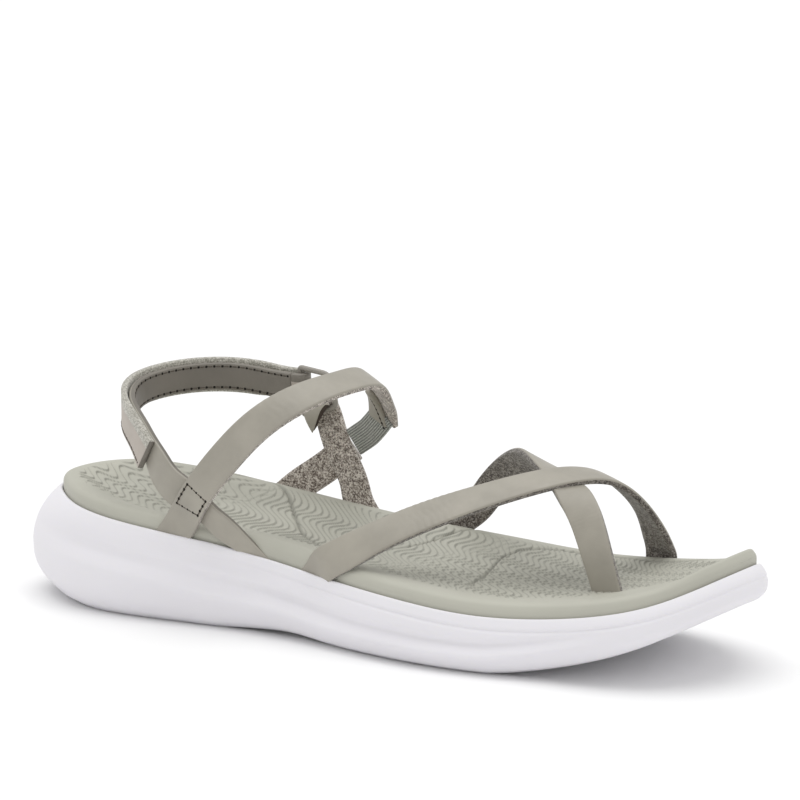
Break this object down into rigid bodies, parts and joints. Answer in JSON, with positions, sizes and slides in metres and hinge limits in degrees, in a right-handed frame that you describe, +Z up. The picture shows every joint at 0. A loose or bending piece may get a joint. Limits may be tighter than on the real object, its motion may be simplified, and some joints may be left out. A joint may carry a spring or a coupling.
{
  "type": "strappy sandal",
  "caption": "Open strappy sandal: white foam sole, sage contoured footbed, crossed leather straps with a toe post and a hook-and-loop heel strap.",
  "frame": {"origin": "middle of the whole footprint on the floor", "axes": "+X to the toe, +Y to the outer side of the left foot, +Z up"},
  "size_m": [0.2626, 0.0898, 0.0821],
  "materials": {
    "sole_unit": "matt white foam",
    "footbed": "matt sage foam",
    "forefoot_straps": "smooth taupe",
    "rear_straps": "smooth taupe",
    "side_arms": "smooth taupe, heathered lining",
    "elastic_gore": "ribbed elastic",
    "closure_tail": "napped hook and loop",
    "closure_ring": "satin"
  },
  "bodies": {
    "root": {"sole_unit": "sole_unit", "footbed": "footbed", "forefoot_straps": "forefoot_straps", "rear_straps": "rear_straps", "side_arms": "side_arms", "elastic_gore": "elastic_gore", "closure_tail": "closure_tail", "closure_ring": "closure_ring"}
  },
  "joints": []
}
